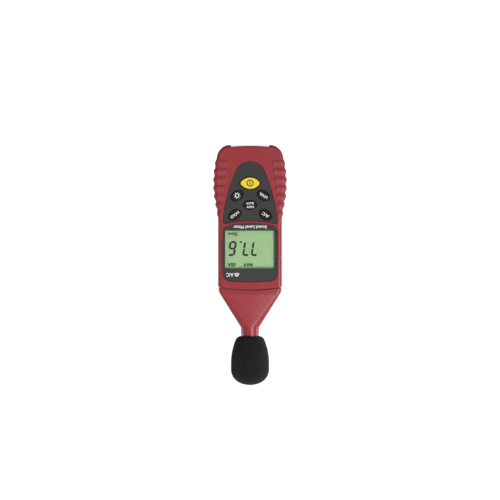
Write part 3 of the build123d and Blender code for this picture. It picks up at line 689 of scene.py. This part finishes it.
def make_display():
    """The reading 77.6 with its unit and mode, and the resting segments that show faintly beside it."""
    dark = printed("lcd_segment", tone(6, 20, 2), 0.5)
    faint = printed("lcd_resting", tone(160, 197, 142), 0.4)
    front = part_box("lcd_glass")[0].y
    lefts = [LAST_DIGIT - step for step in (POINT_PITCH + DIGIT_PITCH, POINT_PITCH, 0)]
    for index, (figure, left) in enumerate(zip("776", lefts)):
        add_digit(f"lcd_digit_{index + 1}", SHAPES[figure], left, front, dark)
        resting = [bar for bar in SHAPES["8"] if bar not in SHAPES[figure]]
        add_digit(f"lcd_resting_{index + 1}", resting, left, front, faint)
    add_digit("lcd_resting_0", "bc", lefts[0] - DIGIT_PITCH, front, faint)
    shell = bmesh.new()
    add_prism(shell, rounded_bar(8.0 * MM, 84.5 * MM, 1.9 * MM, 1.85 * MM, 0), front - FILM, front + FILM)
    attach(link_mesh("lcd_point", shell, dark), "root")
    for name, text, x, z, height, width in (
        ("lcd_max", "MAX", 1.9, 104.3, 2.9, 8.2),
        ("lcd_unit", "dBA", 15.9, 104.2, 2.9, 7.4),
        ("lcd_slow", "Slow", 15.2, 77.6, 3.0, 8.6),
    ):
        letters = lettering(name, text, x * MM, z * MM, height * MM, front, dark, bold=0.15 * MM,
                            width=width * MM)
        attach(letters, "root")


# ------------------------------------------------------------------ legends
POWER_Z = 33.3 * MM
POWER_RING = (2.2 * MM, 3.1 * MM)  # inner and outer radius
POWER_BAR = (3.6 * MM, 0.95 * MM)  # length and width
POWER_LINE = ((9.15 * MM, 5.2 * MM), (10.1 * MM, 6.0 * MM))  # half length and half height, in and out
SUN_PLACE = (11.2 * MM, 44.1 * MM)
SUN_TILT = radians(34)
SUN_RING = (1.15 * MM, 1.8 * MM)
SUN_RAYS = 8
SUN_REACH = 2.55 * MM
SUN_RAY = (0.9 * MM, 0.36 * MM)


def make_legends(white, brown, outline):
    """Printed names on the window's surround and on the keys."""
    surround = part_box("window_surround")[0].y
    title = lettering("label_title", "Sound Level Meter", 0, 71.5 * MM, 2.8 * MM, surround, white,
                      bold=0.05 * MM, width=29.2 * MM)
    attach(title, "root")
    unit = lettering("label_unit", "dB A/C", 15.0 * MM, 112.95 * MM, 3.2 * MM, surround, white,
                     bold=0.06 * MM, width=11.2 * MM)
    attach(unit, "root")
    for name, text, body, x, z, height, width, tilt in (
        ("legend_fast", "FAST", "key_fast_slow", 0, 53.9, 1.9, 6.2, 0),
        ("legend_slow", "SLOW", "key_fast_slow", 0, 50.8, 1.9, 6.6, 0),
        ("legend_level", "LEVEL", "key_level", -11.6, 44.1, 2.1, 8.0, -32),
        ("legend_hold", "HOLD", "key_hold", 13.2, 60.9, 2.3, 8.8, 35),
        ("legend_weighting", "A/C", "key_weighting", -13.4, 60.9, 2.8, 6.4, -35),
    ):
        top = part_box(body)[0].y
        letters = lettering(name, text, x * MM, z * MM, height * MM, top, white, tilt=radians(tilt),
                            bold=0.06 * MM, width=width * MM)
        attach(letters, body)
    sun_mark(white)
    power_mark(brown)
    power_outline(outline)


def sun_mark(ink):
    """Backlight sign: a ring with eight rays."""
    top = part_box("key_backlight")[0].y
    x, z = SUN_PLACE
    shell = bmesh.new()
    inner, outer = SUN_RING
    add_band(shell, circle(x, z, inner), circle(x, z, outer), top - INK, top + INK)
    for i in range(SUN_RAYS):
        angle = 2 * pi * i / SUN_RAYS + SUN_TILT
        ray = rounded_bar(x + SUN_REACH * cos(angle), z + SUN_REACH * sin(angle), *SUN_RAY, angle)
        add_prism(shell, ray, top - INK, top + INK)
    attach(link_mesh("legend_backlight", shell, ink), "key_backlight")


def power_mark(ink):
    """Power sign: a ring round an upright bar."""
    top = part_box("key_power")[0].y
    shell = bmesh.new()
    inner, outer = POWER_RING
    add_band(shell, circle(0, POWER_Z, inner), circle(0, POWER_Z, outer), top - INK, top + INK)
    add_prism(shell, rounded_bar(0, POWER_Z, *POWER_BAR, pi / 2), top - INK, top + INK)
    attach(link_mesh("legend_power", shell, ink), "key_power")


def lens_outline(half_length, half_height, count=24):
    """Pointed oval about the power key's centre, from two arcs."""
    radius = (half_length ** 2 + half_height ** 2) / (2 * half_height)
    reach = asin(half_length / radius)
    points = []
    for side in (1, -1):
        for i in range(count):
            a = reach * (1 - 2 * i / count) * side
            points.append((radius * sin(a), POWER_Z + side * (radius * cos(a) - (radius - half_height))))
    return points


def power_outline(ink):
    """Black line printed on the panel round the power key."""
    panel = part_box("keypad_panel")[0].y
    shell = bmesh.new()
    inner, outer = POWER_LINE
    add_band(shell, lens_outline(*inner), lens_outline(*outer), panel - INK, panel + INK)
    attach(link_mesh("outline_power", shell, ink), "root")


# ------------------------------------------------------------------ assembly
def dress_nodes(materials):
    """Each carried-over CAD node takes the finish of its material slot in the record."""
    for part in frame["record"]["subparts"]:
        mesh = nodes[part["node"]].data
        mesh.materials.clear()
        mesh.materials.append(materials[part["material_slot"]])


bpy.context.scene.view_settings.view_transform = "Standard"
add_camera()
add_world()
add_floor()
for name, azimuth, elevation, width, height, power in LIGHTS:
    add_softbox(name, azimuth, elevation, width, height, power)
materials = make_materials()
dress_nodes(materials)
make_windscreen(materials["windscreen_foam"])
make_display()
make_legends(printed("white_ink", tone(244, 244, 242)), printed("brown_ink", tone(58, 45, 12)),
             printed("black_ink", tone(18, 17, 12)))
